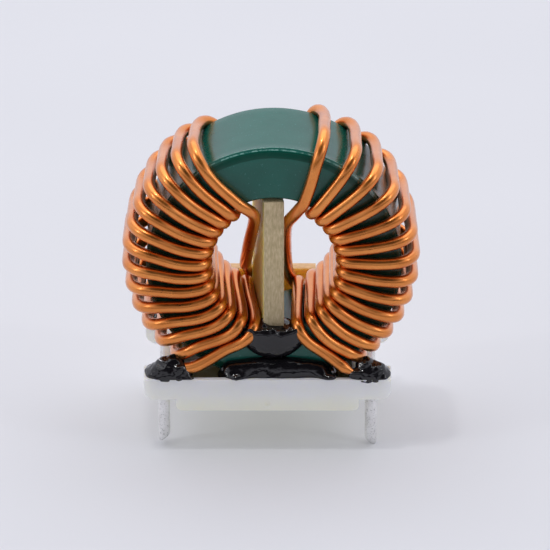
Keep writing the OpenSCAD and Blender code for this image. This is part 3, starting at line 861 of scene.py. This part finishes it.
def pin_piece(name, node, sx, sy, lift, seed):
    """A pin with softened ends, cut off slanting at its tip."""
    low, high = lift - PIN_BELOW, lift + BASE_H + PIN_ABOVE
    cut_w = CUT_SHARE * 2 * PIN_R
    verts = []
    for z in np.linspace(low, high, PIN_LOOPS):
        edge = min(z - low, high - z)
        r = PIN_R * (1 - END_NARROWING * math.exp(-(edge / END_LENGTH)))
        for j in range(PIN_SIDES):
            a = 2 * math.pi * j / PIN_SIDES
            x, y = r * math.cos(a), r * math.sin(a)
            slant = TIP_SLANT * max(0, (-sx * x - (PIN_R - cut_w))) / cut_w
            verts.append((x, y, low + slant + (z - low) * (high - low - slant) / (high - low)))
    faces = quads(PIN_LOOPS, PIN_SIDES)
    faces.append(tuple(range(PIN_SIDES - 1, -1, -1)))
    faces.append(tuple((PIN_LOOPS - 1) * PIN_SIDES + j for j in range(PIN_SIDES)))
    verts = np.array(verts)
    push = ripple(verts, 0.7, 0.03, seed) - 0.02
    verts = verts + unit(verts * [1, 1, 0]) * push[:, None] + [sx * PIN_X, sy * PIN_Y, 0]
    obj = piece(name, verts, faces, [tin])
    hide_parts(node)


for i, (corner, (sx, sy)) in enumerate(CORNERS.items()):
    lift = RAISED if corner == "front_left" else 0
    pin_piece("terminal_" + corner, "pin_" + corner, sx, sy, lift, 10 + i)
    solder = NODES["solder_" + corner]
    solder.data.materials.clear()
    solder.data.materials.append(tin.material)

# ---------- glue ----------

# The spacing of the grid that the glue is shaped on
GLUE_STEP = 0.11
# How far glue goes into what it stands on, an overhang stands out, and other blobs stand back
GLUE_INSET, OVERHANG_OUT, BLOB_BACK = 0.02, 0.06, 0.14
OVERHANG = {"front_left": 0.32, "front_right": 0.5}
# How softly a blob's parts join, its limits meet, it meets its limits, and a bead meets the tray
BLOB_SOFT, LIMIT_SOFT, EDGE_SOFT, BEAD_SOFT = 0.22, 0.06, 0.10, 0.08
# The box round a blob, in x and y from the middle of the base and in z from its top
LUG_BOX = ((8.4, 15.6), (5.2, 10.6), (-1.0, 3.2))


def surface_of(field, low, high, step):
    """Closed surface where field is zero, by surface nets.

    field takes an array of points and is below zero inside.
    """
    axes = [np.arange(a, b + step, step) for a, b in zip(low, high)]
    grid = np.stack(np.meshgrid(*axes, indexing="ij"), -1)
    value = field(grid.reshape(-1, 3)).reshape(grid.shape[:3])
    inside = value < 0
    nx, ny, nz = (n - 1 for n in value.shape)
    total = np.zeros((nx, ny, nz, 3))
    hits = np.zeros((nx, ny, nz))
    corners = [(i, j, k) for i in (0, 1) for j in (0, 1) for k in (0, 1)]
    for a in corners:
        for axis in range(3):
            if a[axis]:
                continue
            b = tuple(1 if i == axis else a[i] for i in range(3))
            va = value[a[0]:a[0] + nx, a[1]:a[1] + ny, a[2]:a[2] + nz]
            vb = value[b[0]:b[0] + nx, b[1]:b[1] + ny, b[2]:b[2] + nz]
            cross = (va < 0) != (vb < 0)
            t = np.where(cross, va / np.where(cross, va - vb, 1), 0)
            spot = np.array(a, float) + t[..., None] * (np.array(b, float) - np.array(a, float))
            total += np.where(cross[..., None], spot, 0)
            hits += cross
    used = hits > 0
    index = -np.ones(used.shape, int)
    index[used] = np.arange(used.sum())
    cell = np.argwhere(used)
    verts = (cell + total[used] / hits[used][:, None]) * step + np.array([a[0] for a in axes])
    faces = []
    for axis in range(3):
        u, v = (axis + 1) % 3, (axis + 2) % 3
        first = [slice(1, n) for n in (nx, ny, nz)]
        first[axis] = slice(0, (nx, ny, nz)[axis])
        second = list(first)
        second[axis] = slice(1, (nx, ny, nz)[axis] + 1)
        a, b = inside[tuple(first)], inside[tuple(second)]
        for cell_at in np.argwhere(a != b):
            at = cell_at.copy()
            at[u] += 1
            at[v] += 1
            quad = []
            for du, dv in ((0, 0), (-1, 0), (-1, -1), (0, -1)):
                q = at.copy()
                q[u] += du
                q[v] += dv
                quad.append(index[tuple(q)])
            if min(quad) >= 0:
                faces.append(quad if a[tuple(cell_at)] else quad[::-1])
    return verts, faces


def ball(p, centre, radii):
    radii = np.array(radii, float)
    return (np.linalg.norm((p - np.array(centre)) / radii, axis=1) - 1) * radii.min()


def rod(p, a, b, r):
    a, b = np.array(a, float), np.array(b, float)
    t = np.clip((p - a) @ (b - a) / ((b - a) @ (b - a)), 0, 1)
    return np.linalg.norm(p - a - t[:, None] * (b - a), axis=1) - r


def joined(parts, soft):
    """Smooth union."""
    out = parts[0]
    for q in parts[1:]:
        h = np.clip(0.5 + 0.5 * (q - out) / soft, 0, 1)
        out = q * (1 - h) + out * h - soft * h * (1 - h)
    return out


def within(parts, soft):
    """Smooth intersection."""
    return -joined([-q for q in parts], soft)


def hump(x, middle, width):
    return np.exp(-((x - middle) / width) ** 2)


def glue_piece(name, field, low, high, seed, nodes, lumps=0.05):
    """A lump of glue: the field's surface inside a box, smoothed once and then roughened."""
    verts, faces = surface_of(field, low, high, GLUE_STEP)
    obj = piece(name, verts, faces, [glue])
    outward(obj)
    bm = bmesh.new()
    bm.from_mesh(obj.data)
    bmesh.ops.smooth_vert(bm, verts=bm.verts, factor=0.5,
                          use_axis_x=True, use_axis_y=True, use_axis_z=True)
    bm.to_mesh(obj.data)
    bm.free()
    points = [v.co / MM for v in obj.data.vertices]
    moves = ripple(points, 0.9, lumps, seed) + ripple(points, 0.35, lumps * 0.3, seed + 1)
    normals = [v.normal.copy() for v in obj.data.vertices]
    for v, n, m in zip(obj.data.vertices, normals, moves):
        v.co += n * m * MM
    obj.data.update()
    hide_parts(*nodes)


def over_lug(parts, sx, sy, overhang):
    """A blob that stands on a lug and ends at the base's outer faces.

    With an overhang it also comes that far down over the lug's edge, in front of its face.
    """

    def field(p):
        blob = joined([ball(p, at, radii) for at, radii in parts], BLOB_SOFT)
        lowest = BASE_H - (overhang or GLUE_INSET)
        outermost = BASE_D / 2 + (OVERHANG_OUT if overhang else -BLOB_BACK)
        limits = within([lowest - p[:, 2], sy * p[:, 1] - outermost,
                         sx * p[:, 0] - BASE_W / 2 + GLUE_INSET], LIMIT_SOFT)
        return within([blob, limits], EDGE_SOFT)

    return field


# Each blob's ellipsoids, as (centre, radii)
BLOBS = {
    "front_left": [
        ((-12.2, -8.2, 4.3), (2.6, 1.9, 1.7)), ((-11.5, -8.0, 5.2), (1.35, 1.4, 1.42)),
        ((-12.5, -8.0, 5.1), (1.3, 1.3, 1.2)), ((-13.5, -8.4, 4.2), (1.4, 1.4, 1.1)),
        ((-10.9, -8.9, 4.8), (1.25, 1.1, 1.15)), ((-10.3, -8.9, 4.4), (1.15, 1.05, 0.9)),
        ((-14.1, -7.7, 4.2), (1.0, 1.7, 0.75)), ((-11.7, -9.7, 4.15), (1.7, 0.42, 0.42)),
        ((-9.7, -9.6, 4.15), (0.75, 0.4, 0.28)),
    ],
    "front_right": [
        ((12.7, -8.2, 4.3), (2.0, 1.9, 1.45)), ((12.0, -8.1, 5.2), (1.2, 1.35, 1.15)),
        ((13.3, -8.5, 4.9), (1.25, 1.25, 1.0)), ((14.2, -8.2, 4.3), (0.95, 1.6, 0.7)),
        ((11.5, -8.9, 4.6), (1.0, 1.0, 0.85)), ((12.2, -9.7, 4.1), (1.6, 0.5, 0.5)),
        ((10.8, -9.2, 4.6), (0.85, 0.8, 0.7)), ((13.6, -9.6, 4.1), (0.9, 0.45, 0.35)),
    ],
    "rear_left": [
        ((-12.4, 8.0, 4.2), (2.8, 2.1, 2.1)), ((-11.4, 8.0, 5.1), (1.5, 1.5, 1.3)),
        ((-13.6, 8.5, 4.4), (1.3, 1.3, 1.1)),
    ],
    "rear_right": [
        ((12.3, 8.0, 4.2), (2.8, 2.1, 2.1)), ((11.3, 8.1, 5.1), (1.5, 1.4, 1.3)),
        ((13.6, 7.6, 4.4), (1.2, 1.3, 1.2)),
    ],
}
for i, (corner, (sx, sy)) in enumerate(CORNERS.items()):
    field = over_lug(BLOBS[corner], sx, sy, OVERHANG.get(corner, 0))
    xs, ys = (sorted(sign * at for at in ends) for sign, ends in zip((sx, sy), LUG_BOX))
    low, high = zip(xs, ys, (BASE_H + at for at in LUG_BOX[2]))
    glue_piece("glue_blob_" + corner, field, low, high, seed=20 + i, nodes=["glue_" + corner],
               lumps=0.11)

core_x = CORE_AT[0]
bore_low = CORE_AT[2] - BORE_R


def foot_field(p):
    """The blob at the divider's foot.

    It is a lens on the ring's face, flat on top with a raised front, that climbs the divider. It
    has a part inside the bore and an arm to the right.
    """
    x, y, z = p[:, 0] - core_x, p[:, 1] - RING_FRONT_Y, p[:, 2] - bore_low
    p = np.stack([x, y, z], 1)
    lens = ball(p, (-0.05, 0.1, 0.2), (4.1, 1.75, 3.6))
    mound = 0.9 * hump(x, -1.2, 0.75) / (1 + np.exp((-0.5 - y) / 0.15))
    rim = 0.36 * hump(y, -1.0, 0.34)
    waves = 0.13 * np.cos(x * 2.1 + 0.6) + 0.07 * np.cos(x * 4.3)
    lid = (z - (0.55 + mound + rim + waves)) * 0.8
    front = within([lens, lid], 0.3)
    in_bore = ball(p, (0, 1.4, 0.15), (3.0, 2.3, 0.95))
    arm = rod(p, (2.4, -0.2, 0.2), (3.6, -0.5, 0.4), 0.45)
    return joined([front, in_bore, arm], 0.3)


glue_piece("glue_divider", foot_field, (core_x - 4.8, RING_FRONT_Y - 2.4, bore_low - 4.0),
           (core_x + 5, RING_FRONT_Y + 4, bore_low + 2.8), seed=31, nodes=["glue_divider_foot"])


def on_tray(blob, p):
    """What of a blob is above the tray's floor."""
    return within([blob, FLOOR_Z + GLUE_INSET - p[:, 2]], BEAD_SOFT)


def seat_field(p):
    """The long bead where the ring's front face meets the tray, with two drips over its edge."""
    from_face = p - [core_x, RING_FRONT_Y, BASE_H]
    bead = ball(from_face, (0.45, 0.1, -0.4), (7.4, 2.0, 2.45))
    left = rod(from_face, (-5.3, -0.5, 0.55), (-1.5, -0.5, 0.8), 0.9)
    right = rod(from_face, (1.5, -0.5, 0.8), (5.6, -0.6, 0.45), 0.9)
    from_edge = p - [core_x, BASE_FRONT_Y, BASE_H]
    drip_left = ball(from_edge, (-4.6, 0.55, 0.05), (0.75, 0.55, 0.28))
    drip_right = ball(from_edge, (6.8, 0.5, 0.1), (0.85, 0.55, 0.40))
    return on_tray(joined([bead, left, right, drip_left, drip_right], 0.9), p)


glue_piece("glue_seat", seat_field, (core_x - 8.4, BASE_FRONT_Y - 0.6, FLOOR_Z - 0.4),
           (core_x + 9.4, RING_FRONT_Y + 2.3, BASE_H + 2.4), seed=33, nodes=["glue_seat_front"])


def board_field(p):
    """The bead at the foot of the rear board."""
    return on_tray(ball(p, (0, BOARD_Y - BOARD_T / 2, FLOOR_Z), (5, 1.1, 1.1)), p)


glue_piece("glue_board", board_field, (-6, BOARD_Y - 2.6, FLOOR_Z - 0.4),
           (6, BOARD_Y + 1, FLOOR_Z + 1.8), seed=35, nodes=["glue_board_foot"])

# ---------- floor ----------

FLOOR_HALF = 1.6  # in metres
mesh = bpy.data.meshes.new("floor")
mesh.from_pydata([(x * FLOOR_HALF, y * FLOOR_HALF, GROUND_Z * MM)
                  for x, y in ((-1, -1), (1, -1), (1, 1), (-1, 1))], [], [(0, 1, 2, 3)])
floor = bpy.data.objects.new("floor", mesh)
bpy.context.collection.objects.link(floor)
mesh.materials.append(paper.material)
